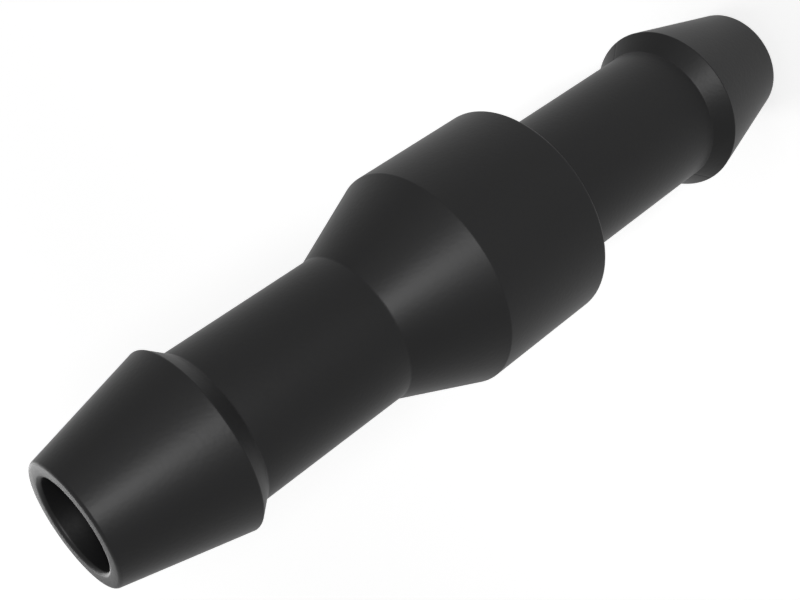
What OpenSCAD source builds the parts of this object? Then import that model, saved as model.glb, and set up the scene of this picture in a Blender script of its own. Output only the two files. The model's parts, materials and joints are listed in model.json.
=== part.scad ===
// Non-return valve for a 10 mm hose: two moulded shells snapped together round a spring-loaded poppet.
// It stands on its outlet tip, +Z runs along the flow axis towards the inlet, and the origin is the
// centre of the outlet tip's face. Liquid enters at the top, pushes the poppet down off its conical
// seat, passes between the guide's spokes and leaves at the bottom.

/* [Hose barbs] */
// Diameter of the shank that carries the hose
shank_d = 10; // [9.4:0.1:10.6]
// Diameter over the sharp rim of each barb
barb_d = 12; // [11.4:0.1:12.8]
// Diameter of the flat face at each tip
tip_d = 8; // [7.6:0.1:8.6]
// Diameter of the bore through each barb
bore_d = 6; // [5.6:0.1:6.4]
// Length of the long lead-in cone of each barb
nose_len = 8; // [6.5:0.5:10]
// Length of the short back cone behind each rim
barb_back_len = 1.2; // [0.8:0.1:1.8]
// Length of plain shank between the inlet barb and the cone
inlet_shank_len = 11; // [9:0.5:16]
// Length of plain shank between the outlet barb and the shoulder
outlet_shank_len = 15; // [11:0.5:20]

/* [Housing] */
// Diameter of the round body
body_d = 15; // [14.6:0.1:15.8]
// Length of the round body
body_len = 9; // [8.6:0.2:12]
// Length of the cone between the body and the inlet shank
cone_len = 6; // [5.6:0.1:6.4]
// Thickness of the body's wall, and of the cone's
wall = 1.6; // [1.4:0.05:1.7]
// Rounding of the outer moulded edges
edge_r = 0.25; // [0.1:0.05:0.4]
// Rounding in the inner corners, as at the root of a shank
root_r = 0.4; // [0.2:0.05:0.6]

/* [Outlet cap] */
// Thickness of the flange that fills the body's mouth
flange_t = 2; // [1.8:0.1:2.4]
// Thickness of the rim that the mouth leaves round the flange
mouth_wall = 0.8; // [0.7:0.05:0.9]
// Length of the plug above the flange
plug_len = 3; // [2.8:0.1:3.2]
// Height of the snap bead round the flange
bead_h = 0.22; // [0.15:0.01:0.3]
// Radial clearance between the plug and the body
plug_gap = 0.05; // [0.03:0.01:0.08]
// Cord thickness of the body seal before it is squeezed
body_seal_cord = 1; // [0.9:0.05:1.1]
// Depth of the body seal's groove from the body's wall, less than the cord so that it is squeezed
body_seal_depth = 0.84; // [0.78:0.01:0.88]
// Thickness of the plug's wall behind the seal groove
plug_wall = 0.6; // [0.5:0.05:0.7]
// Chamfer that leads the plug and its seal into the body
lead_in = 0.3; // [0.2:0.05:0.35]
// Length of the lead-in slope on each side of the snap bead
bead_half = 0.4; // [0.3:0.05:0.5]
// Width of the step in the plug on which the stem guide is seated
guide_step = 0.35; // [0.25:0.05:0.4]

/* [Poppet] */
// Cord thickness of the seal on the poppet
seat_seal_cord = 1.5; // [1.3:0.05:1.6]
// Distance of the seal's centre circle outside the bore
seat_seal_overlap = 0.75; // [0.65:0.05:0.85]
// Clearance between the seal and its seat, as good as closed
seat_gap = 0.03; // [0.02:0.01:0.06]
// Clearance between the poppet's nose and the seat cone
nose_gap = 0.35; // [0.25:0.05:0.45]
// Thickness of the flange that backs the seal
poppet_flange_t = 0.8; // [0.7:0.05:0.9]
// Rounding of the poppet's nose, which parts the incoming stream
nose_round = 1.3; // [1:0.1:1.5]
// Diameter of the stem
stem_d = 2.5; // [2.2:0.1:2.8]
// Rounding of the stem's tip, which finds the guide when the valve is put together
stem_tip = 0.4; // [0.2:0.05:0.5]
// Height of the stem's tip above the bottom of the guide
stem_lift = 0.3; // [0.2:0.05:0.4]
// Opening travel of the poppet
travel = 3; // [2:0.1:3]

/* [Stem guide] */
// Radial running clearance of the stem
stem_gap = 0.05; // [0.03:0.01:0.08]
// Thickness of the hub's wall round the stem
hub_wall = 0.65; // [0.55:0.05:0.75]
// Height of the hub
hub_h = 3; // [2.6:0.1:3.1]
// Thickness of the guide's outer ring
ring_wall = 0.6; // [0.5:0.05:0.7]
// Height of the guide's outer ring
ring_h = 2.3; // [2.1:0.1:2.5]
// Height of the spokes
spoke_h = 2; // [1.8:0.1:2.1]
// Thickness of each spoke
spoke_t = 0.9; // [0.7:0.1:1.1]
// Number of spokes
spoke_count = 3; // [3:1:4]

/* [Spring] */
// Wire thickness
wire_d = 0.35; // [0.3:0.01:0.36]
// Number of turns, with the closed turn at each end
turns = 6.5; // [5:0.5:6.5]
// Radial clearance between the wire and the collars it runs round
spring_gap = 0.22; // [0.15:0.01:0.3]

/* [Hidden] */
$fn = 96;
// Steps of a rounded corner
arc_steps = 6;
// Gap that stands for two faces that touch
touch_gap = 0.02;
// Space left under the poppet's collar at full travel
stop_gap = 0.1;
// Length by which pieces that are united reach into each other
bite = 0.2;
// Sides of the spring's wire, and its sections in each turn
ring_sides = 8;
steps_per_turn = 20;
// Width of the body seal's groove as a share of its cord, and half the squeezed seal's width
groove_w_share = 1.35;
squeezed_half_share = 0.58;
// Rounding of the squeezed seal's corners as a share of its thickness
squeezed_round_share = 0.45;
// Half the width of the poppet's gland as a share of its seal's cord
gland_half_share = 0.63;
// Reach of the poppet's flange past the seal's centre circle as a share of the seal's radius
flange_reach_share = 0.8;
// Rise of a closed end turn of the spring as a share of the wire
closed_rise_share = 1.05;

// Radii
shank_r = shank_d / 2;
barb_r = barb_d / 2;
tip_r = tip_d / 2;
bore_r = bore_d / 2;
body_r = body_d / 2;
cavity_r = body_r - wall;
mouth_r = body_r - mouth_wall;

// Heights of the outside, from the outlet tip upwards
outlet_rim_z = nose_len;
outlet_back_z = outlet_rim_z + barb_back_len;
shoulder_z = outlet_back_z + outlet_shank_len;
body_top_z = shoulder_z + body_len;
cone_top_z = body_top_z + cone_len;
inlet_back_z = cone_top_z + inlet_shank_len;
inlet_rim_z = inlet_back_z + barb_back_len;
inlet_tip_z = inlet_rim_z + nose_len;

// The seat cone runs parallel to the outer cone, one wall inside it
cone_slope = (body_r - shank_r) / cone_len;
cone_cos = cos(atan(cone_slope));
seat_base_r = body_r - wall / cone_cos;
function seat_r_at(z) = seat_base_r - cone_slope * (z - body_top_z);
function seat_z_at(r) = body_top_z + (seat_base_r - r) / cone_slope;
seat_low_z = seat_z_at(cavity_r);
seat_high_z = seat_z_at(bore_r);

// Outlet cap
ledge_z = shoulder_z + flange_t;
plug_top_z = ledge_z + plug_len;
plug_r = cavity_r - plug_gap;
flange_r = mouth_r - plug_gap;
bead_z = shoulder_z + flange_t / 2;
groove_floor_r = cavity_r - body_seal_depth;
groove_w = body_seal_cord * groove_w_share;
groove_z = ledge_z + plug_len / 2;
skirt_r = groove_floor_r - plug_wall;
guide_z = plug_top_z - ring_h;
funnel_z = shoulder_z + flange_t / 4;

// Stem guide
stem_r = stem_d / 2;
hub_bore_r = stem_r + stem_gap;
collar_r = hub_bore_r + hub_wall;
ring_r = skirt_r - plug_gap;
hub_top_z = guide_z + hub_h;
spoke_top_z = guide_z + spoke_h;

// Poppet, closed on its seat
seat_seal_r = seat_seal_cord / 2;
seal_ring_r = bore_r + seat_seal_overlap;
seal_z = seat_z_at(seal_ring_r + (seat_seal_r + seat_gap) / cone_cos);
gland_half = seat_seal_cord * gland_half_share;
gland_floor_r = seal_ring_r - seat_seal_r - touch_gap;
poppet_flange_r = seal_ring_r + seat_seal_r * flange_reach_share;
poppet_flange_z = seal_z - gland_half - poppet_flange_t;
nose_low_z = seal_z + gland_half;
nose_top_z = seat_high_z - nose_gap;
function nose_r_at(z) = seat_r_at(z) - nose_gap / cone_cos;
collar_low_z = hub_top_z + travel + stop_gap;
stem_low_z = guide_z + stem_lift;

// Spring
wire_r = wire_d / 2;
coil_r = collar_r + spring_gap + wire_r;
spring_low_z = spoke_top_z + wire_r + touch_gap;
spring_high_z = poppet_flange_z - wire_r - touch_gap;

// One corner of an outline, given as [r, z] or [r, z, rounding], turned into an arc
function corner(a, b, c, radius) =
    radius <= 0 ? [b] :
    let (
        u = (a - b) / norm(a - b),
        v = (c - b) / norm(c - b),
        half = acos(u * v) / 2,
        centre = b + (u + v) / norm(u + v) * radius / sin(half),
        first = b + u * radius / tan(half) - centre,
        last = b + v * radius / tan(half) - centre,
        start = atan2(first[1], first[0]),
        turn = atan2(last[1], last[0]) - start,
        sweep = turn > 180 ? turn - 360 : turn < -180 ? turn + 360 : turn
    )
    [for (i = [0:arc_steps])
        centre + radius * [cos(start + sweep * i / arc_steps), sin(start + sweep * i / arc_steps)]];

// An outline with the rounding of each of its corners worked in
function outline(points) = let (n = len(points), flat = [for (p = points) [p[0], p[1]]])
    [for (i = [0:n - 1]) let (
            before = flat[(i + n - 1) % n],
            after = flat[(i + 1) % n],
            radius = len(points[i]) > 2 ? points[i][2] : 0
        )
        each corner(before, flat[i], after, radius)];

// Solid of revolution from a rounded outline
module turned(points) {
    rotate_extrude() polygon(outline(points));
}

// The upper shell: inlet barb, shank, cone and body, with the seat and the working space inside
module inlet_housing() {
    color("#1b1b1c") turned([
        [mouth_r + plug_gap, shoulder_z],
        [body_r, shoulder_z, edge_r],
        [body_r, body_top_z, edge_r],
        [shank_r, cone_top_z, root_r],
        [shank_r, inlet_back_z, root_r / 2],
        [barb_r, inlet_rim_z, edge_r / 2],
        [tip_r, inlet_tip_z, edge_r],
        [bore_r, inlet_tip_z, edge_r],
        [bore_r, seat_high_z, root_r],
        [cavity_r, seat_low_z, root_r],
        [cavity_r, ledge_z + lead_in],
        [cavity_r + lead_in, ledge_z],
        [mouth_r, ledge_z],
        [mouth_r, bead_z + bead_half],
        [mouth_r + bead_h, bead_z],
        [mouth_r, bead_z - bead_half],
        [mouth_r, shoulder_z + plug_gap],
    ]);
}

// The lower shell: outlet barb and shank, the flange that snaps into the mouth, and the sealed plug
module outlet_cap() {
    color("#1b1b1c") turned([
        [bore_r, 0, edge_r],
        [tip_r, 0, edge_r],
        [barb_r, outlet_rim_z, edge_r / 2],
        [shank_r, outlet_back_z, root_r / 2],
        [shank_r, shoulder_z, root_r],
        [flange_r, shoulder_z],
        [flange_r, bead_z - bead_half],
        [flange_r + bead_h, bead_z],
        [flange_r, bead_z + bead_half],
        [flange_r, ledge_z],
        [plug_r, ledge_z],
        [plug_r, groove_z - groove_w / 2],
        [groove_floor_r, groove_z - groove_w / 2],
        [groove_floor_r, groove_z + groove_w / 2],
        [plug_r, groove_z + groove_w / 2],
        [plug_r, plug_top_z, edge_r],
        [skirt_r, plug_top_z],
        [skirt_r, guide_z],
        [skirt_r - guide_step, guide_z],
        [bore_r, funnel_z, root_r],
    ]);
}

// The body seal as it sits squeezed between the plug's groove and the body's wall
module body_seal() {
    low_r = groove_floor_r + touch_gap;
    high_r = cavity_r - touch_gap;
    half_w = body_seal_cord * squeezed_half_share;
    round_r = (high_r - low_r) * squeezed_round_share;
    color("#101010") turned([
        [low_r, groove_z - half_w, round_r],
        [high_r, groove_z - half_w, round_r],
        [high_r, groove_z + half_w, round_r],
        [low_r, groove_z + half_w, round_r],
    ]);
}

// A ring, a hub for the stem and the spokes between them, pressed into the plug
module stem_guide() {
    color("#e4e2da") difference() {
        union() {
            turned([
                [ring_r - ring_wall, guide_z],
                [ring_r, guide_z],
                [ring_r, guide_z + ring_h, edge_r / 2],
                [ring_r - ring_wall, guide_z + ring_h, edge_r],
            ]);
            turned([
                [0, guide_z],
                [collar_r, guide_z],
                [collar_r, hub_top_z, edge_r],
                [0, hub_top_z],
            ]);
            for (i = [0:spoke_count - 1])
                rotate([0, 0, i * 360 / spoke_count])
                    translate([collar_r - bite, -spoke_t / 2, guide_z])
                        cube([ring_r - ring_wall - collar_r + 2 * bite, spoke_t, spoke_h]);
        }
        translate([0, 0, guide_z - bite]) cylinder(r = hub_bore_r, h = hub_h + 2 * bite);
    }
}

// The valve's moving piece: blunt nose, gland for its seal, backing flange, collar and stem
module poppet() {
    color("#e4e2da") turned([
        [0, stem_low_z],
        [stem_r, stem_low_z, stem_tip],
        [stem_r, collar_low_z],
        [collar_r, collar_low_z, edge_r],
        [collar_r, poppet_flange_z],
        [poppet_flange_r, poppet_flange_z, edge_r],
        [poppet_flange_r, seal_z - gland_half],
        [gland_floor_r, seal_z - gland_half],
        [gland_floor_r, nose_low_z],
        [nose_r_at(nose_low_z), nose_low_z, edge_r / 2],
        [nose_r_at(nose_top_z), nose_top_z, nose_round],
        [0, nose_top_z],
    ]);
}

// The round seal stretched into the poppet's gland
module seat_seal() {
    color("#101010") translate([0, 0, seal_z])
        rotate_extrude() translate([seal_ring_r, 0]) circle(r = seat_seal_r);
}

// Height of the wire's centre line, as a share of the spring's length, after t turns. The closed
// turn at each end rises by one wire thickness, and the open turns share the rest evenly.
function coil_share(t) = let (
        length = spring_high_z - spring_low_z,
        closed = wire_d * closed_rise_share / length,
        open = (1 - 2 * closed) / (turns - 2)
    )
    t < 1 ? closed * t :
    t > turns - 1 ? 1 - closed * (turns - t) :
    closed + open * (t - 1);

// A compression spring, swept as rings of the wire's section along its helix
module spring() {
    rings = ceil(turns * steps_per_turn);
    points = [for (i = [0:rings]) let (
            t = turns * i / rings,
            angle = 360 * t,
            z = spring_low_z + (spring_high_z - spring_low_z) * coil_share(t)
        )
        for (k = [0:ring_sides - 1]) let (
            side = 360 * (k + 0.5) / ring_sides,
            r = coil_r + wire_r * cos(side)
        )
        [r * cos(angle), r * sin(angle), z + wire_r * sin(side)]];
    walls = [for (i = [0:rings - 1], k = [0:ring_sides - 1]) let (next = (k + 1) % ring_sides)
        [i * ring_sides + k, (i + 1) * ring_sides + k, (i + 1) * ring_sides + next, i * ring_sides + next]];
    low_end = [for (k = [0:ring_sides - 1]) k];
    high_end = [for (k = [ring_sides - 1:-1:0]) rings * ring_sides + k];
    color("#c9ccd0") polyhedron(points = points, faces = concat(walls, [low_end, high_end]), convexity = 8);
}

inlet_housing();
outlet_cap();
body_seal();
stem_guide();
spring();
poppet();
seat_seal();
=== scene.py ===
"""Looks of a non-return valve for a 10 mm hose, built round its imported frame.

The valve stands on its outlet tip and +Z runs along the flow axis towards the inlet. Two black
moulded shells are snapped together round an ivory poppet, its guide, a wire spring and two seals.
Lengths are metres. Heights and outer radii come from the frame, and the other sizes are fields of
the class that uses them.
"""

import json
import logging
import math
from collections.abc import Callable, Sequence
from dataclasses import dataclass, field
from enum import Enum

import bmesh
import bpy
from mathutils import Matrix, Vector


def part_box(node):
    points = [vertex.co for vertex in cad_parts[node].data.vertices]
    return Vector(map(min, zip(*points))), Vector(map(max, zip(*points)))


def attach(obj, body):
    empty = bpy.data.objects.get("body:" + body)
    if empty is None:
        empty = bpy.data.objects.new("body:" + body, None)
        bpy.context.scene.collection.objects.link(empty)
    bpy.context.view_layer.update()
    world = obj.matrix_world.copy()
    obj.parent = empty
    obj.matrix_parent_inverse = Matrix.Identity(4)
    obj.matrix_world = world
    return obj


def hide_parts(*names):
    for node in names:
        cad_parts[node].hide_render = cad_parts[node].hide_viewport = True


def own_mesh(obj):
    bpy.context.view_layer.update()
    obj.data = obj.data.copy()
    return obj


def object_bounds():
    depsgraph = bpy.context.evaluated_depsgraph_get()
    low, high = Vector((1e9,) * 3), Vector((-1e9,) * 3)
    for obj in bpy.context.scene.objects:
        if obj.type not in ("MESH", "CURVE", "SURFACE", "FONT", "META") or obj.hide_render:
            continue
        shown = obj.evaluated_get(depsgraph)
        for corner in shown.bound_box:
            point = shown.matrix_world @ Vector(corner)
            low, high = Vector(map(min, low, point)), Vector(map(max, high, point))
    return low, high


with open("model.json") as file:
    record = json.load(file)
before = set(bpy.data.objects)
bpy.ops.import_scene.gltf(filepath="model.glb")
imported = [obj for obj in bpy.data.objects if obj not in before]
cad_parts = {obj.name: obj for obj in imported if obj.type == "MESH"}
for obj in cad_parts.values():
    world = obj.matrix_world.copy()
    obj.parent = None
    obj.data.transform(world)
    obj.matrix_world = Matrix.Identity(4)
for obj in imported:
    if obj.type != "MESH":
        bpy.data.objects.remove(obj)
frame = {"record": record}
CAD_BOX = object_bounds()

LOG = logging.getLogger("valve")
SLIDE = "poppet_slide"
MM = 0.001
FULL_TURN = 2 * math.pi
AXIS = Vector((0, 0, 1))
ORIGIN = Vector((0, 0, 0))
SAME = 0.002 * MM
SHARP_ANGLE = math.radians(32)
# Sockets that a Mix node uses for colours: its factor, its two inputs and its output
MIX_COLOUR_INPUTS = (0, 6, 7)
MIX_COLOUR_OUTPUT = 2


class Body(Enum):
    """The frame's two moving groups."""

    SHELL = "shell"
    POPPET = "poppet"


class Slot(Enum):
    """The record's finishes."""

    SHELL_PLASTIC = "shell_plastic"
    INNER_PLASTIC = "inner_plastic"
    SEAL_RUBBER = "seal_rubber"
    SPRING_STEEL = "spring_steel"


Palette = dict[Slot, bpy.types.Material]


@dataclass(frozen=True)
class Corner:
    """A corner of a turned outline: its radius, its height and the rounding of its edge."""

    r: float
    z: float
    rounding: float = 0.0

    def at(self) -> Vector:
        """The corner's place in the XZ plane."""
        return Vector((self.r, 0, self.z))


def box_of(node: str) -> tuple[float, float, float]:
    """Measure a node of the frame.

    Args:
        node: the node's name.

    Returns:
        Its lowest height, its highest height and its largest radius.
    """
    low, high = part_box(node)
    return low.z, high.z, max(high.x, -low.x)


def travel_of(joint: str) -> float:
    """Read how far a joint opens.

    Args:
        joint: the joint's name.

    Returns:
        Its upper limit.
    """
    joints = {j["name"]: j for j in frame["record"]["behaviour"]["joints"]}
    return joints[joint]["range_m"][1]


def bevel_edges(
    mesh: bmesh.types.BMesh, edges: Sequence[bmesh.types.BMEdge], offset: float, segments: int
) -> None:
    """Round edges evenly.

    Args:
        mesh: the mesh.
        edges: the edges.
        offset: how far the rounding reaches from each edge along its two faces.
        segments: the facets of the rounding.
    """
    bmesh.ops.bevel(
        mesh,
        geom=edges,
        offset=offset,
        offset_type="OFFSET",
        affect="EDGES",
        segments=segments,
        profile=0.5,
        material=-1,
    )


def turn_once(mesh: bmesh.types.BMesh, steps: int) -> None:
    """Turn all that a mesh holds once round the flow axis, and point its faces outwards.

    Args:
        mesh: the mesh, with an outline in the XZ plane.
        steps: the facets of the turn.
    """
    bmesh.ops.spin(
        mesh,
        geom=[*mesh.verts, *mesh.edges],
        cent=ORIGIN,
        axis=AXIS,
        angle=FULL_TURN,
        steps=steps,
        use_merge=True,
    )
    bmesh.ops.remove_doubles(mesh, verts=mesh.verts[:], dist=SAME)
    bmesh.ops.recalc_face_normals(mesh, faces=mesh.faces[:])


def ring_edges(mesh: bmesh.types.BMesh, corner: Corner) -> list[bmesh.types.BMEdge]:
    """Find the circle of edges that a corner of the outline leaves when it is turned.

    Args:
        mesh: the turned mesh.
        corner: the corner.

    Returns:
        The edges whose two ends lie on the corner's circle.
    """

    def on_circle(vertex: bmesh.types.BMVert) -> bool:
        """Whether a vertex lies on the circle."""
        flat = math.hypot(vertex.co.x, vertex.co.y)
        return abs(flat - corner.r) < SAME and abs(vertex.co.z - corner.z) < SAME

    return [e for e in mesh.edges if on_circle(e.verts[0]) and on_circle(e.verts[1])]


def round_corners(
    mesh: bmesh.types.BMesh, corners: Sequence[Corner], closed: bool, segments: int
) -> None:
    """Round the turned mesh's circles by bevels of a true radius.

    Args:
        mesh: the turned mesh.
        corners: the outline.
        closed: whether the outline's last corner joins its first.
        segments: the facets of each rounding.
    """
    count = len(corners)
    for i, corner in enumerate(corners):
        at_end = not closed and i in (0, count - 1)
        if corner.rounding <= 0 or at_end:
            continue
        before = corners[i - 1].at() - corner.at()
        after = corners[(i + 1) % count].at() - corner.at()
        offset = corner.rounding / math.tan(before.angle(after) / 2)
        bevel_edges(mesh, ring_edges(mesh, corner), offset, segments)


def turned(corners: Sequence[Corner], steps: int, segments: int = 6) -> bmesh.types.BMesh:
    """Turn an outline round the flow axis and round its edges.

    Args:
        corners: the outline. It is a closed loop, unless both its ends lie on the axis.
        steps: the facets of a full turn.
        segments: the facets of each rounding.

    Returns:
        The closed mesh, with its faces pointing outwards.
    """
    mesh = bmesh.new()
    closed = corners[0].r > SAME or corners[-1].r > SAME
    vertices = [mesh.verts.new(c.at()) for c in corners]
    for pair in zip(vertices, vertices[1:]):
        mesh.edges.new(pair)
    if closed:
        mesh.edges.new((vertices[-1], vertices[0]))
    turn_once(mesh, steps)
    round_corners(mesh, corners, closed, segments)
    return mesh


def add_cord_section(
    mesh: bmesh.types.BMesh, radius: float, sides: int, centre: tuple[float, float, float]
) -> None:
    """Add the round section of a wire or a seal, upright in the XZ plane and ready to be turned.

    Args:
        mesh: the mesh that gets it.
        radius: its radius.
        sides: its number of sides.
        centre: its centre.
    """
    ring = bmesh.ops.create_circle(mesh, cap_ends=False, radius=radius, segments=sides)
    lay = Matrix.Translation(centre) @ Matrix.Rotation(math.pi / 2, 4, "X")
    bmesh.ops.transform(mesh, matrix=lay, verts=ring["verts"])


@dataclass(frozen=True)
class PartingLine:
    """The faint line in which the two halves of a mould met, on both sides of a moulding."""

    width: float = 0.12 * MM
    depth: float = 0.02 * MM

    def score(
        self, mesh: bmesh.types.BMesh, low: float, high: float, mid_wall_r: Callable[[float], float]
    ) -> None:
        """Sink the line into the outside of a turned mesh.

        Args:
            mesh: the mesh.
            low: the height at which the line starts.
            high: the height at which it ends.
            mid_wall_r: gives a radius between the inside and the outside at a height.
        """

        def on_line(vertex: bmesh.types.BMVert) -> bool:
            """Whether a vertex lies in the parting plane, on the outside."""
            place = vertex.co
            return abs(place.y) < SAME and low < place.z < high and abs(place.x) > mid_wall_r(place.z)

        edges = [e for e in mesh.edges if all(on_line(v) for v in e.verts)]
        # Two segments leave a middle row of vertices on the line, and that row is sunk
        bevel_edges(mesh, edges, self.width / 2, segments=2)
        for side in (1, -1):
            line = [v for v in mesh.verts if on_line(v) and v.co.x * side > 0]
            bmesh.ops.translate(mesh, verts=line, vec=Vector((-side * self.depth, 0, 0)))


def add_piece(
    name: str, mesh: bmesh.types.BMesh, node: str, body: Body, slot: Slot, palette: Palette
) -> bpy.types.Object:
    """Make a finished piece of a mesh and let it stand for its node of the frame.

    Args:
        name: the piece's name.
        mesh: its mesh, in place. It is freed.
        node: the node that it replaces.
        body: the moving group that it rides on.
        slot: the record's finish.
        palette: the material of each finish.

    Returns:
        The piece.
    """
    data = bpy.data.meshes.new(name)
    mesh.to_mesh(data)
    mesh.free()
    data.materials.append(palette[slot])
    data.polygons.foreach_set("use_smooth", [True] * len(data.polygons))
    data.set_sharp_from_angle(angle=SHARP_ANGLE)
    piece = bpy.data.objects.new(name, data)
    bpy.context.scene.collection.objects.link(piece)
    even = piece.modifiers.new("Even shading", "WEIGHTED_NORMAL")
    even.keep_sharp = True
    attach(piece, body.value)
    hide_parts(node)
    LOG.info("%s: %d faces", name, len(data.polygons))
    return piece


class Wiring:
    """Adds nodes to a shader tree and joins them."""

    def __init__(self, tree: bpy.types.NodeTree) -> None:
        """Take an empty tree."""
        self.tree = tree

    def add(self, kind: str, **values: object) -> bpy.types.Node:
        """Add a node.

        Args:
            kind: the node's type, without its ShaderNode prefix.
            values: attributes of the node, and with a leading "in_" the values of its inputs,
                whose names have underscores in place of spaces.

        Returns:
            The node.
        """
        node = self.tree.nodes.new("ShaderNode" + kind)
        for name, value in values.items():
            if name.startswith("in_"):
                self.feed(value, node, name.removeprefix("in_").replace("_", " "))
            else:
                setattr(node, name, value)
        return node

    def join(self, value: object, socket: bpy.types.NodeSocket) -> None:
        """Set an input socket, or link it to another node's output.

        Args:
            value: a number, a colour or an output socket.
            socket: the socket that takes it.
        """
        if isinstance(value, bpy.types.NodeSocket):
            self.tree.links.new(value, socket)
        else:
            socket.default_value = value

    def feed(self, value: object, node: bpy.types.Node, name: str) -> None:
        """Set or link the input of a node that has the given name."""
        self.join(value, node.inputs[name])

    def maths(self, operation: str, first: object, second: object) -> bpy.types.NodeSocket:
        """Add a Math node.

        Args:
            operation: its operation.
            first: its first number or socket.
            second: its second number or socket.

        Returns:
            Its output.
        """
        node = self.tree.nodes.new("ShaderNodeMath")
        node.operation = operation
        for socket, value in zip(node.inputs, (first, second)):
            self.join(value, socket)
        return node.outputs[0]

    def blend(self, share: object, first: object, second: object) -> bpy.types.NodeSocket:
        """Mix two colours.

        Args:
            share: the share of the second colour.
            first: the first colour or socket.
            second: the second colour or socket.

        Returns:
            The mixed colour.
        """
        node = self.tree.nodes.new("ShaderNodeMix")
        node.data_type = "RGBA"
        for number, value in zip(MIX_COLOUR_INPUTS, (share, first, second)):
            self.join(value, node.inputs[number])
        return node.outputs[MIX_COLOUR_OUTPUT]


def new_group(name: str, inputs: dict[str, float], outputs: dict[str, str]) -> Wiring:
    """Start a shader node group.

    Args:
        name: the group's name.
        inputs: the number inputs and their usual values.
        outputs: the outputs and their socket types.

    Returns:
        The wiring of the group, with its input and output nodes in place.
    """
    tree = bpy.data.node_groups.new(name, "ShaderNodeTree")
    for label, value in inputs.items():
        socket = tree.interface.new_socket(label, in_out="INPUT", socket_type="NodeSocketFloat")
        socket.default_value = value
    for label, kind in outputs.items():
        tree.interface.new_socket(label, in_out="OUTPUT", socket_type=kind)
    tree.nodes.new("NodeGroupInput")
    tree.nodes.new("NodeGroupOutput")
    return Wiring(tree)


def mould_grain_group(detail: float = 3.0) -> bpy.types.NodeTree:
    """Make the fine grain that a mould's surface leaves on plastic and rubber.

    Args:
        detail: how many finer layers its haze has.

    Returns:
        A group that takes the grain's size in metres and puts out its height and a mask.
    """
    wiring = new_group(
        "Mould grain", {"Size": 0.15 * MM}, {"Height": "NodeSocketFloat", "Mask": "NodeSocketFloat"}
    )
    given = wiring.tree.nodes["Group Input"].outputs
    place = wiring.add("TexCoord").outputs["Object"]
    scale = wiring.maths("DIVIDE", 1.0, given["Size"])
    pits = wiring.add("TexVoronoi", feature="SMOOTH_F1", in_Vector=place, in_Scale=scale)
    haze = wiring.add("TexNoise", in_Vector=place, in_Scale=scale, in_Detail=detail)
    height = wiring.maths("ADD", pits.outputs["Distance"], haze.outputs["Fac"])
    put = wiring.tree.nodes["Group Output"]
    wiring.feed(height, put, "Height")
    wiring.feed(haze.outputs["Fac"], put, "Mask")
    return wiring.tree


def melt_flow_group(along: float = 0.35, detail: float = 4.0) -> bpy.types.NodeTree:
    """Make the broad, faint clouds that a melt leaves as it fills a mould along the flow axis.

    Args:
        along: the pattern's scale along the axis, under 1 so that the clouds are drawn out.
        detail: how many finer layers the clouds have.

    Returns:
        A group that takes the clouds' size in metres and puts out a mask and a roughness.
    """
    wiring = new_group(
        "Melt flow",
        {"Size": 6 * MM, "Roughness": 0.4, "Spread": 0.05},
        {"Mask": "NodeSocketFloat", "Roughness": "NodeSocketFloat"},
    )
    given = wiring.tree.nodes["Group Input"].outputs
    place = wiring.add("TexCoord").outputs["Object"]
    drawn = wiring.add("Mapping", in_Vector=place, in_Scale=(1, 1, along)).outputs["Vector"]
    scale = wiring.maths("DIVIDE", 1.0, given["Size"])
    cloud = wiring.add("TexNoise", in_Vector=drawn, in_Scale=scale, in_Detail=detail).outputs["Fac"]
    centred = wiring.maths("SUBTRACT", cloud, 0.5)
    spread = wiring.maths("MULTIPLY", centred, given["Spread"])
    put = wiring.tree.nodes["Group Output"]
    wiring.feed(cloud, put, "Mask")
    wiring.feed(wiring.maths("ADD", given["Roughness"], spread), put, "Roughness")
    return wiring.tree


class Effects:
    """The node groups that the finishes share, each made once."""

    def __init__(self) -> None:
        """Make the groups."""
        self.grain = mould_grain_group()
        self.flow = melt_flow_group()

    @staticmethod
    def place(wiring: Wiring, tree: bpy.types.NodeTree, **values: float) -> bpy.types.Node:
        """Place a group in a material.

        Args:
            wiring: the material's wiring.
            tree: the group.
            values: the group's inputs.

        Returns:
            The group's node.
        """
        node = wiring.tree.nodes.new("ShaderNodeGroup")
        node.node_tree = tree
        for name, value in values.items():
            node.inputs[name].default_value = value
        return node


def new_material(name: str) -> tuple[bpy.types.Material, Wiring, bpy.types.Node]:
    """Start a material.

    Args:
        name: its name.

    Returns:
        The material, its wiring and its Principled BSDF.
    """
    material = bpy.data.materials.new(name)
    material.use_nodes = True
    return material, Wiring(material.node_tree), material.node_tree.nodes["Principled BSDF"]


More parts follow.
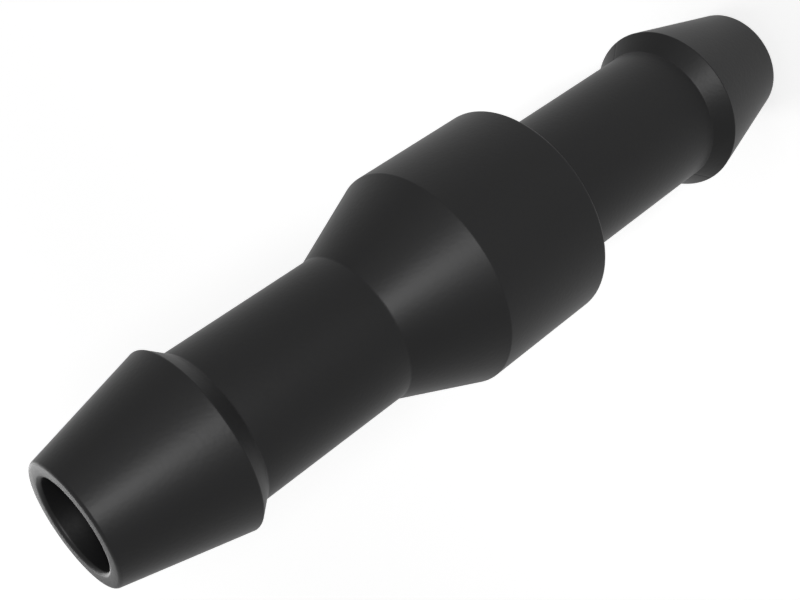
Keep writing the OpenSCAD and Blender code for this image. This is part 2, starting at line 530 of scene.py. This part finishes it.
@dataclass(frozen=True)
class MouldedFinish:
    """A moulded plastic or rubber: faint melt clouds in colour and gloss, and the mould's grain."""

    name: str
    dark: tuple[float, float, float]
    light: tuple[float, float, float]
    roughness: float
    roughness_spread: float
    specular: float
    grain_size: float
    grain_depth: float
    cloud_size: float = 6 * MM
    glow_through: float = 0.0
    glow_depth: float = 0.5 * MM

    def material(self, effects: Effects) -> bpy.types.Material:
        """Build the material.

        Args:
            effects: the shared node groups.

        Returns:
            The material.
        """
        material, wiring, surface = new_material(self.name)
        flow = effects.place(
            wiring,
            effects.flow,
            Size=self.cloud_size,
            Roughness=self.roughness,
            Spread=self.roughness_spread,
        )
        grain = effects.place(wiring, effects.grain, Size=self.grain_size)
        colour = wiring.blend(flow.outputs["Mask"], (*self.dark, 1), (*self.light, 1))
        bump = wiring.add("Bump", in_Strength=1.0, in_Distance=self.grain_depth)
        wiring.feed(grain.outputs["Height"], bump, "Height")
        wiring.feed(colour, surface, "Base Color")
        wiring.feed(flow.outputs["Roughness"], surface, "Roughness")
        wiring.feed(bump.outputs["Normal"], surface, "Normal")
        surface.inputs["Specular IOR Level"].default_value = self.specular
        if self.glow_through > 0:
            surface.inputs["Subsurface Weight"].default_value = self.glow_through
            surface.inputs["Subsurface Scale"].default_value = self.glow_depth
        return material


@dataclass(frozen=True)
class WireFinish:
    """Bright drawn stainless wire, with the die's fine lines running round the coil."""

    name: str
    dull: tuple[float, float, float] = (0.62, 0.62, 0.60)
    bright: tuple[float, float, float] = (0.76, 0.76, 0.74)
    roughness: float = 0.26
    roughness_spread: float = 0.22
    cloud_size: float = 1 * MM
    line_size: float = 0.04 * MM
    line_depth: float = 0.002 * MM
    line_detail: float = 2.0

    def material(self, effects: Effects) -> bpy.types.Material:
        """Build the material.

        Args:
            effects: the shared node groups.

        Returns:
            The material.
        """
        material, wiring, surface = new_material(self.name)
        flow = effects.place(
            wiring,
            effects.flow,
            Size=self.cloud_size,
            Roughness=self.roughness,
            Spread=self.roughness_spread,
        )
        place = wiring.add("TexCoord").outputs["Object"]
        split = wiring.add("SeparateXYZ", in_Vector=place)
        x_squared, y_squared = (wiring.maths("MULTIPLY", split.outputs[k], split.outputs[k]) for k in "XY")
        from_axis = wiring.maths("SQRT", wiring.maths("ADD", x_squared, y_squared), 0.0)
        section = wiring.add("CombineXYZ", in_X=from_axis, in_Y=split.outputs["Z"])
        lines = wiring.add(
            "TexNoise",
            in_Vector=section.outputs["Vector"],
            in_Scale=1 / self.line_size,
            in_Detail=self.line_detail,
        ).outputs["Fac"]
        bump = wiring.add("Bump", in_Strength=1.0, in_Distance=self.line_depth, in_Height=lines)
        wiring.feed(wiring.blend(lines, (*self.dull, 1), (*self.bright, 1)), surface, "Base Color")
        wiring.feed(flow.outputs["Roughness"], surface, "Roughness")
        wiring.feed(bump.outputs["Normal"], surface, "Normal")
        surface.inputs["Metallic"].default_value = 1.0
        return material


def make_palette() -> Palette:
    """Make the valve's four materials.

    Returns:
        The material of each finish.
    """
    effects = Effects()
    finishes = {
        Slot.SHELL_PLASTIC: MouldedFinish(
            name="Black shell plastic",
            dark=(0.003, 0.003, 0.0032),
            light=(0.0052, 0.0052, 0.0054),
            roughness=0.46,
            roughness_spread=0.05,
            specular=0.17,
            grain_size=0.25 * MM,
            grain_depth=0.004 * MM,
        ),
        Slot.INNER_PLASTIC: MouldedFinish(
            name="Ivory inner plastic",
            dark=(0.76, 0.73, 0.66),
            light=(0.82, 0.80, 0.74),
            roughness=0.42,
            roughness_spread=0.08,
            specular=0.45,
            grain_size=0.1 * MM,
            grain_depth=0.001 * MM,
            cloud_size=3 * MM,
            glow_through=0.12,
        ),
        Slot.SEAL_RUBBER: MouldedFinish(
            name="Black seal rubber",
            dark=(0.014, 0.014, 0.014),
            light=(0.026, 0.026, 0.026),
            roughness=0.58,
            roughness_spread=0.1,
            specular=0.4,
            grain_size=0.06 * MM,
            grain_depth=0.001 * MM,
            cloud_size=2 * MM,
        ),
        Slot.SPRING_STEEL: WireFinish(name="Drawn steel"),
    }
    return {slot: finish.material(effects) for slot, finish in finishes.items()}


@dataclass
class HoseTail:
    """The barbed tail that both shells end in."""

    shank_r: float = 5 * MM
    barb_r: float = 6 * MM
    tip_r: float = 4 * MM
    bore_r: float = 3 * MM
    nose_len: float = 8 * MM
    back_len: float = 1.2 * MM
    edge_r: float = 0.25 * MM
    root_r: float = 0.4 * MM

    def outside(self, tip_z: float, inward: int) -> list[Corner]:
        """Draw the outside from the shank to the bore's mouth.

        Args:
            tip_z: the height of the tip's face.
            inward: the direction from the tip into the valve, 1 upwards or -1 downwards.

        Returns:
            The corners, from the shank to the bore.
        """
        rim_z = tip_z + inward * self.nose_len
        return [
            Corner(self.shank_r, rim_z + inward * self.back_len, self.root_r / 2),
            Corner(self.barb_r, rim_z, self.edge_r / 2),
            Corner(self.tip_r, tip_z, self.edge_r),
            Corner(self.bore_r, tip_z, self.edge_r),
        ]


@dataclass
class HoseShell:
    """The two moulded shells and the ring seal that is squeezed between them."""

    palette: Palette
    tail: HoseTail = field(default_factory=HoseTail)
    steps: int = 192
    body_len: float = 9 * MM
    cone_len: float = 6 * MM
    wall: float = 1.6 * MM
    mouth_wall: float = 0.8 * MM
    flange_t: float = 2 * MM
    bead_h: float = 0.22 * MM
    bead_half: float = 0.4 * MM
    fit_gap: float = 0.05 * MM
    lead_in: float = 0.3 * MM
    groove_depth: float = 0.84 * MM
    groove_w: float = 1.35 * MM
    plug_wall: float = 0.6 * MM
    guide_h: float = 2.3 * MM
    guide_step: float = 0.35 * MM
    seal_half_w: float = 0.58 * MM
    seal_gap: float = 0.02 * MM
    seal_round_share: float = 0.45
    parting_line: PartingLine = PartingLine()

    def __post_init__(self) -> None:
        """Take the heights and the outer radius from the frame."""
        self.shoulder_z, self.inlet_z, self.body_r = box_of("inlet_housing")
        self.outlet_z, self.plug_top_z, _ = box_of("outlet_cap")
        self.cavity_r = self.body_r - self.wall
        self.mouth_r = self.body_r - self.mouth_wall
        self.ledge_z = self.shoulder_z + self.flange_t
        self.body_top_z = self.shoulder_z + self.body_len
        self.cone_top_z = self.body_top_z + self.cone_len
        self.bead_z = self.shoulder_z + self.flange_t / 2
        self.funnel_z = self.shoulder_z + self.flange_t / 4
        self.groove_floor_r = self.cavity_r - self.groove_depth
        self.groove_z = (self.ledge_z + self.plug_top_z) / 2

    def seat_z_at(self, radius: float) -> float:
        """Find where the seat cone, one wall inside the outer cone, has a given radius.

        Args:
            radius: the radius.

        Returns:
            The height.
        """
        slope = (self.body_r - self.tail.shank_r) / self.cone_len
        base_r = self.body_r - self.wall / math.cos(math.atan(slope))
        return self.body_top_z + (base_r - radius) / slope

    def housing(self) -> bpy.types.Object:
        """Build the upper shell: inlet tail, cone and body, with the seat and the working space inside.

        Returns:
            The piece.
        """
        tail = self.tail
        mesh = turned(
            [
                Corner(self.mouth_r + self.fit_gap, self.shoulder_z),
                Corner(self.body_r, self.shoulder_z, tail.edge_r),
                Corner(self.body_r, self.body_top_z, tail.edge_r),
                Corner(tail.shank_r, self.cone_top_z, tail.root_r),
                *tail.outside(self.inlet_z, -1),
                Corner(tail.bore_r, self.seat_z_at(tail.bore_r), tail.root_r),
                Corner(self.cavity_r, self.seat_z_at(self.cavity_r), tail.root_r),
                Corner(self.cavity_r, self.ledge_z + self.lead_in),
                Corner(self.cavity_r + self.lead_in, self.ledge_z),
                Corner(self.mouth_r, self.ledge_z),
                Corner(self.mouth_r, self.bead_z + self.bead_half),
                Corner(self.mouth_r + self.bead_h, self.bead_z),
                Corner(self.mouth_r, self.bead_z - self.bead_half),
                Corner(self.mouth_r, self.shoulder_z + self.fit_gap),
            ],
            self.steps,
        )
        self.parting_line.score(
            mesh, self.shoulder_z + tail.edge_r, self.inlet_z - tail.edge_r, self.mid_wall_r
        )
        return add_piece(
            "moulded_inlet_housing", mesh, "inlet_housing", Body.SHELL, Slot.SHELL_PLASTIC, self.palette
        )

    def mid_wall_r(self, height: float) -> float:
        """Find a radius that lies inside a shell's wall.

        Args:
            height: the height.

        Returns:
            The radius, between the wall's inside and its outside.
        """
        tail = self.tail
        if height > self.cone_top_z or height < self.shoulder_z:
            return (tail.bore_r + tail.tip_r) / 2
        climb = max(0.0, height - self.body_top_z)
        outside_r = self.body_r - climb * (self.body_r - tail.shank_r) / self.cone_len
        return outside_r - self.mouth_wall / 2

    def cap(self) -> bpy.types.Object:
        """Build the lower shell: outlet tail, the flange that snaps into the mouth, and the plug.

        Returns:
            The piece.
        """
        tail = self.tail
        flange_r = self.mouth_r - self.fit_gap
        plug_r = self.cavity_r - self.fit_gap
        skirt_r = self.groove_floor_r - self.plug_wall
        guide_z = self.plug_top_z - self.guide_h
        mesh = turned(
            [
                *reversed(tail.outside(self.outlet_z, 1)),
                Corner(tail.shank_r, self.shoulder_z, tail.root_r),
                Corner(flange_r, self.shoulder_z),
                Corner(flange_r, self.bead_z - self.bead_half),
                Corner(flange_r + self.bead_h, self.bead_z),
                Corner(flange_r, self.bead_z + self.bead_half),
                Corner(flange_r, self.ledge_z),
                Corner(plug_r, self.ledge_z),
                Corner(plug_r, self.groove_z - self.groove_w / 2),
                Corner(self.groove_floor_r, self.groove_z - self.groove_w / 2),
                Corner(self.groove_floor_r, self.groove_z + self.groove_w / 2),
                Corner(plug_r, self.groove_z + self.groove_w / 2),
                Corner(plug_r, self.plug_top_z, tail.edge_r),
                Corner(skirt_r, self.plug_top_z),
                Corner(skirt_r, guide_z),
                Corner(skirt_r - self.guide_step, guide_z),
                Corner(tail.bore_r, self.funnel_z, tail.root_r),
            ],
            self.steps,
        )
        self.parting_line.score(
            mesh, self.outlet_z + tail.edge_r, self.shoulder_z - tail.root_r, self.mid_wall_r
        )
        return add_piece(
            "moulded_outlet_cap", mesh, "outlet_cap", Body.SHELL, Slot.SHELL_PLASTIC, self.palette
        )

    def ring_seal(self) -> bpy.types.Object:
        """Build the body seal, squeezed flat between the plug's groove and the body's wall.

        Returns:
            The piece.
        """
        low_r = self.groove_floor_r + self.seal_gap
        high_r = self.cavity_r - self.seal_gap
        round_r = (high_r - low_r) * self.seal_round_share
        low_z, high_z = self.groove_z - self.seal_half_w, self.groove_z + self.seal_half_w
        mesh = turned(
            [
                Corner(low_r, low_z, round_r),
                Corner(high_r, low_z, round_r),
                Corner(high_r, high_z, round_r),
                Corner(low_r, high_z, round_r),
            ],
            self.steps,
        )
        return add_piece(
            "fitted_body_seal", mesh, "body_seal", Body.SHELL, Slot.SEAL_RUBBER, self.palette
        )

    def build(self) -> list[bpy.types.Object]:
        """Build the shells and their seal.

        Returns:
            The pieces.
        """
        return [self.housing(), self.cap(), self.ring_seal()]


@dataclass
class StemGuide:
    """The ring, hub and spokes that are pressed into the plug and guide the poppet's stem."""

    palette: Palette
    spokes: int = 3
    spoke_t: float = 0.9 * MM
    spoke_h: float = 2 * MM
    ring_h: float = 2.3 * MM
    ring_wall: float = 0.6 * MM
    stem_r: float = 1.25 * MM
    stem_gap: float = 0.05 * MM
    hub_wall: float = 0.65 * MM
    edge_r: float = 0.15 * MM
    across_steps: int = 6
    between_steps: int = 26
    edge_segments: int = 4

    def __post_init__(self) -> None:
        """Take the heights and the outer radius from the frame."""
        self.low_z, self.hub_top_z, self.ring_r = box_of("stem_guide")
        self.bore_r = self.stem_r + self.stem_gap
        self.hub_r = self.bore_r + self.hub_wall
        self.inner_r = self.ring_r - self.ring_wall
        self.spoke_top_z = self.low_z + self.spoke_h

    def sector_ring(self, mesh: bmesh.types.BMesh, corners: Sequence[Corner], spoke_r: float) -> None:
        """Turn an outline so that columns of vertices fall on the sides of every spoke.

        Args:
            mesh: the mesh that gets the ring.
            corners: the ring's closed outline.
            spoke_r: the radius at which the spokes meet the ring.
        """
        half = math.asin(self.spoke_t / 2 / spoke_r)
        turn = Matrix.Rotation(-half, 3, "Z")
        vertices = [mesh.verts.new(turn @ c.at()) for c in corners]
        last = [*vertices, *(mesh.edges.new((vertices[i - 1], v)) for i, v in enumerate(vertices))]
        for _ in range(self.spokes):
            for angle, steps in (
                (2 * half, self.across_steps),
                (FULL_TURN / self.spokes - 2 * half, self.between_steps),
            ):
                swept = bmesh.ops.spin(mesh, geom=last, cent=ORIGIN, axis=AXIS, angle=angle, steps=steps)
                last = swept["geom_last"]

    def root_faces(
        self, mesh: bmesh.types.BMesh, radius: float, number: int
    ) -> list[bmesh.types.BMFace]:
        """Find the faces on which a spoke stands.

        Args:
            mesh: the mesh.
            radius: the radius of the wall that carries the spoke.
            number: the spoke's number.

        Returns:
            The faces of the wall that lie within the spoke's section.
        """
        back = Matrix.Rotation(-number * FULL_TURN / self.spokes, 3, "Z")

        def on_root(vertex: bmesh.types.BMVert) -> bool:
            """Whether a vertex lies on the spoke's section."""
            point = back @ vertex.co
            flat = math.hypot(point.x, point.y)
            inside = abs(point.y) < self.spoke_t / 2 + SAME and point.x > 0
            return inside and abs(flat - radius) < SAME and point.z < self.spoke_top_z + SAME

        return [f for f in mesh.faces if all(on_root(v) for v in f.verts)]

    def bridge_spoke(self, mesh: bmesh.types.BMesh, number: int) -> None:
        """Join the hub to the ring by a spoke.

        Args:
            mesh: the closed mesh of the hub, the ring and the spokes made so far.
            number: the spoke's number.
        """
        roots = [f for r in (self.hub_r, self.inner_r) for f in self.root_faces(mesh, r, number)]
        bmesh.ops.delete(mesh, geom=roots, context="FACES_KEEP_BOUNDARY")
        bmesh.ops.bridge_loops(mesh, edges=[e for e in mesh.edges if e.is_boundary])

    def build(self) -> list[bpy.types.Object]:
        """Build the guide as one moulding.

        Returns:
            The piece.
        """
        mesh = bmesh.new()
        self.sector_ring(
            mesh,
            [
                Corner(self.bore_r, self.low_z),
                Corner(self.hub_r, self.low_z),
                Corner(self.hub_r, self.spoke_top_z),
                Corner(self.hub_r, self.hub_top_z),
                Corner(self.bore_r, self.hub_top_z),
            ],
            self.hub_r,
        )
        self.sector_ring(
            mesh,
            [
                Corner(self.inner_r, self.low_z),
                Corner(self.ring_r, self.low_z),
                Corner(self.ring_r, self.low_z + self.ring_h),
                Corner(self.inner_r, self.low_z + self.ring_h),
                Corner(self.inner_r, self.spoke_top_z),
            ],
            self.inner_r,
        )
        bmesh.ops.remove_doubles(mesh, verts=mesh.verts[:], dist=SAME)
        bmesh.ops.recalc_face_normals(mesh, faces=mesh.faces[:])
        for number in range(self.spokes):
            self.bridge_spoke(mesh, number)
        bmesh.ops.recalc_face_normals(mesh, faces=mesh.faces[:])
        for corner in (
            Corner(self.hub_r, self.hub_top_z),
            Corner(self.bore_r, self.hub_top_z),
            Corner(self.inner_r, self.low_z + self.ring_h),
            Corner(self.ring_r, self.low_z + self.ring_h),
        ):
            bevel_edges(mesh, ring_edges(mesh, corner), self.edge_r, self.edge_segments)
        return [
            add_piece(
                "moulded_stem_guide", mesh, "stem_guide", Body.SHELL, Slot.INNER_PLASTIC, self.palette
            )
        ]


@dataclass
class ReturnSpring:
    """The compression spring: a closed turn at each end and open turns between them."""

    palette: Palette
    guide: StemGuide
    turns: float = 6.5
    wire_d: float = 0.35 * MM
    closed_rise: float = 1.05
    section_sides: int = 16
    turn_steps: int = 48
    weld: float = 0.0002 * MM

    def __post_init__(self) -> None:
        """Take the coil's ends and its radius from the frame, and the spoke that it stands on."""
        self.low_z, self.high_z, outer_r = box_of("spring")
        self.coil_r = outer_r - self.wire_d / 2
        self.foot_z = self.guide.spoke_top_z

    def build(self) -> list[bpy.types.Object]:
        """Sweep the wire along its coil.

        Returns:
            The piece.
        """
        mesh = bmesh.new()
        add_cord_section(
            mesh, self.wire_d / 2, self.section_sides, (self.coil_r, 0, self.low_z + self.wire_d / 2)
        )
        closed = self.wire_d * self.closed_rise
        rise = self.high_z - self.low_z - self.wire_d
        last = [*mesh.verts, *mesh.edges]
        for turns, climb in ((1, closed), (self.turns - 2, rise - 2 * closed), (1, closed)):
            steps = round(turns * self.turn_steps)
            swept = bmesh.ops.spin(
                mesh,
                geom=last,
                cent=ORIGIN,
                axis=AXIS,
                dvec=AXIS * (climb / steps),
                angle=turns * FULL_TURN,
                steps=steps,
            )
            last = swept["geom_last"]
        bmesh.ops.remove_doubles(mesh, verts=mesh.verts[:], dist=self.weld)
        ends = [e for e in mesh.edges if e.is_boundary]
        bmesh.ops.holes_fill(mesh, edges=ends, sides=self.section_sides)
        bmesh.ops.recalc_face_normals(mesh, faces=mesh.faces[:])
        piece = add_piece(
            "coiled_spring", mesh, "spring", Body.SHELL, Slot.SPRING_STEEL, self.palette
        )
        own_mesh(piece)
        return [piece]


@dataclass
class PoppetSet:
    """The moving poppet and the ring seal stretched into its gland."""

    palette: Palette
    shell: HoseShell
    guide: StemGuide
    steps: int = 144
    cord_sides: int = 40
    edge_segments: int = 8
    gland_gap: float = 0.02 * MM
    gland_share: float = 1.26
    nose_gap: float = 0.35 * MM
    nose_round: float = 1.3 * MM
    flange_t: float = 0.8 * MM
    stem_tip: float = 0.4 * MM
    stop_gap: float = 0.1 * MM
    edge_r: float = 0.25 * MM

    def __post_init__(self) -> None:
        """Take the heights and the outer radius from the frame."""
        self.stem_low_z, self.nose_top_z, self.flange_r = box_of("poppet")
        seal_low_z, seal_high_z, seal_outer_r = box_of("seat_seal")
        self.seal_z = (seal_low_z + seal_high_z) / 2
        self.cord_r = (seal_high_z - seal_low_z) / 2
        self.seal_ring_r = seal_outer_r - self.cord_r
        self.collar_low_z = self.guide.hub_top_z + travel_of(SLIDE) + self.stop_gap

    def nose_r_at(self, height: float) -> float:
        """Find the nose's radius, a running gap inside the seat cone.

        Args:
            height: the height.

        Returns:
            The radius.
        """
        shell = self.shell
        slope = (shell.body_r - shell.tail.shank_r) / shell.cone_len
        across = 1 / math.cos(math.atan(slope))
        base_r = shell.body_r - shell.wall * across
        return base_r - slope * (height - shell.body_top_z) - self.nose_gap * across

    def poppet(self) -> bpy.types.Object:
        """Build the poppet: blunt nose, gland, backing flange, collar and stem.

        Returns:
            The piece.
        """
        stem_r, collar_r = self.guide.stem_r, self.guide.hub_r
        gland_half = self.cord_r * self.gland_share
        gland_r = self.seal_ring_r - self.cord_r - self.gland_gap
        flange_low_z = self.seal_z - gland_half - self.flange_t
        nose_low_z = self.seal_z + gland_half
        mesh = turned(
            [
                Corner(0, self.stem_low_z),
                Corner(stem_r, self.stem_low_z, self.stem_tip),
                Corner(stem_r, self.collar_low_z),
                Corner(collar_r, self.collar_low_z, self.edge_r),
                Corner(collar_r, flange_low_z),
                Corner(self.flange_r, flange_low_z, self.edge_r),
                Corner(self.flange_r, self.seal_z - gland_half, self.edge_r / 3),
                Corner(gland_r, self.seal_z - gland_half),
                Corner(gland_r, nose_low_z),
                Corner(self.nose_r_at(nose_low_z), nose_low_z, self.edge_r / 2),
                Corner(self.nose_r_at(self.nose_top_z), self.nose_top_z, self.nose_round),
                Corner(0, self.nose_top_z),
            ],
            self.steps,
            self.edge_segments,
        )
        return add_piece(
            "moulded_poppet", mesh, "poppet", Body.POPPET, Slot.INNER_PLASTIC, self.palette
        )

    def seat_seal(self) -> bpy.types.Object:
        """Build the round seal that closes on the seat cone.

        Returns:
            The piece.
        """
        mesh = bmesh.new()
        add_cord_section(mesh, self.cord_r, self.cord_sides, (self.seal_ring_r, 0, self.seal_z))
        turn_once(mesh, self.steps)
        return add_piece(
            "fitted_seat_seal", mesh, "seat_seal", Body.POPPET, Slot.SEAL_RUBBER, self.palette
        )

    def build(self) -> list[bpy.types.Object]:
        """Build the poppet and its seal.

        Returns:
            The pieces.
        """
        return [self.poppet(), self.seat_seal()]


@dataclass(frozen=True)
class Softbox:
    """A square soft lamp: its direction from the valve, its distance, its width and its power."""

    name: str
    direction: tuple[float, float, float]
    distance: float
    width: float
    watts: float

    def place(self, aim: Vector) -> None:
        """Set the lamp up so that it faces a point.

        Args:
            aim: the point.
        """
        data = bpy.data.lights.new(self.name, "AREA")
        data.shape = "SQUARE"
        data.size = self.width
        data.energy = self.watts
        lamp = bpy.data.objects.new(self.name, data)
        towards = Vector(self.direction).normalized()
        lamp.location = aim + towards * self.distance
        lamp.rotation_mode = "QUATERNION"
        lamp.rotation_quaternion = (-towards).to_track_quat("-Z", "Y")
        bpy.context.scene.collection.objects.link(lamp)


@dataclass
class Studio:
    """The pale floor, the soft lamps, the world and the camera."""

    floor_r: float = 3.0
    floor_sides: int = 96
    floor_colour: tuple[float, float, float] = (0.82, 0.82, 0.82)
    floor_roughness: float = 0.9
    floor_lift: float = 0.53
    fade_start: float = 0.1
    fade_end: float = 0.8
    world_fill: float = 0.14
    camera_place: tuple[float, float, float] = (0, -68.817 * MM, 75.382 * MM)
    camera_lens: float = 58.035
    nearest_seen: float = 1 * MM
    farthest_seen: float = 10.0
    look: tuple[float, float, float] = (-0.002443, 0.863971, -0.503535)
    picture_right: tuple[float, float, float] = (-0.576335, -0.412713, -0.705341)
    lamps: tuple[Softbox, ...] = (
        Softbox("Key softbox", (-0.01, -0.95, 0.31), 0.9, 0.2, 7.8),
        Softbox("Side softbox", (0.71, -0.64, 0.3), 0.9, 0.3, 0.4),
        Softbox("Back softbox", (0.25, 0.9, 0.25), 0.9, 0.4, 2.4),
        Softbox("Overhead softbox", (0.0, 0.03, 1.0), 1.2, 0.6, 1.2),
    )

    def floor(self) -> None:
        """Lay the round floor, which shows white outside the valve's shadow, far off too."""
        mesh = bmesh.new()
        bmesh.ops.create_circle(mesh, cap_ends=True, radius=self.floor_r, segments=self.floor_sides)
        data = bpy.data.meshes.new("floor")
        mesh.to_mesh(data)
        mesh.free()
        material, wiring, surface = new_material("Pale floor")
        surface.inputs["Base Color"].default_value = (*self.floor_colour, 1)
        surface.inputs["Roughness"].default_value = self.floor_roughness
        surface.inputs["Specular IOR Level"].default_value = 0.0
        surface.inputs["Emission Color"].default_value = (1, 1, 1, 1)
        place = wiring.add("TexCoord").outputs["Object"]
        distance = wiring.add("VectorMath", operation="LENGTH", in_Vector=place).outputs["Value"]
        lift = wiring.add(
            "MapRange",
            interpolation_type="SMOOTHSTEP",
            in_Value=distance,
            in_From_Min=self.fade_start,
            in_From_Max=self.fade_end,
            in_To_Min=self.floor_lift,
            in_To_Max=1.0,
        ).outputs["Result"]
        seen = wiring.maths("MULTIPLY", self.seen_directly(wiring), lift)
        wiring.feed(seen, surface, "Emission Strength")
        data.materials.append(material)
        floor = bpy.data.objects.new("floor", data)
        bpy.context.scene.collection.objects.link(floor)

    @staticmethod
    def seen_directly(wiring: Wiring) -> bpy.types.NodeSocket:
        """Tell the rays that see the background from those that only carry its light.

        Args:
            wiring: the wiring of the background's material or world.

        Returns:
            1 for camera, glossy and transmission rays, and 0 for the others.
        """
        path = wiring.add("LightPath").outputs
        mirrored = wiring.maths("MAXIMUM", path["Is Glossy Ray"], path["Is Transmission Ray"])
        return wiring.maths("MAXIMUM", path["Is Camera Ray"], mirrored)

    def world(self) -> None:
        """Fill the room with even light, and show it white beyond the floor."""
        world = bpy.data.worlds.new("Soft room")
        bpy.context.scene.world = world
        world.use_nodes = True
        wiring = Wiring(world.node_tree)
        background = world.node_tree.nodes["Background"]
        background.inputs["Color"].default_value = (1, 1, 1, 1)
        extra = wiring.maths("MULTIPLY", self.seen_directly(wiring), 1 - self.world_fill)
        wiring.feed(wiring.maths("ADD", extra, self.world_fill), background, "Strength")

    def camera(self) -> None:
        """Set up the camera, rolled so that the valve runs up to the right."""
        data = bpy.data.cameras.new("Camera")
        data.lens = self.camera_lens
        data.clip_start = self.nearest_seen
        data.clip_end = self.farthest_seen
        camera = bpy.data.objects.new("Camera", data)
        look = Vector(self.look).normalized()
        right = Vector(self.picture_right).normalized()
        up = right.cross(look)
        turn = Matrix((right, up, -look)).transposed().to_4x4()
        camera.matrix_world = Matrix.Translation(self.camera_place) @ turn
        bpy.context.scene.collection.objects.link(camera)
        bpy.context.scene.camera = camera

    def build(self) -> None:
        """Set up the floor, the world, the lamps and the camera."""
        self.floor()
        self.world()
        low, high = CAD_BOX
        for lamp in self.lamps:
            lamp.place((low + high) / 2)
        self.camera()
        bpy.context.scene.view_settings.view_transform = "Standard"


def main() -> None:
    """Build the valve's sub-assemblies and the studio."""
    logging.basicConfig(level=logging.INFO, format="%(message)s")
    palette = make_palette()
    shell = HoseShell(palette)
    guide = StemGuide(palette)
    for assembly in (shell, guide, ReturnSpring(palette, guide), PoppetSet(palette, shell, guide)):
        pieces = assembly.build()
        LOG.info("%s: %s", type(assembly).__name__, ", ".join(p.name for p in pieces))
    Studio().build()


if __name__ == "__main__":
    main()
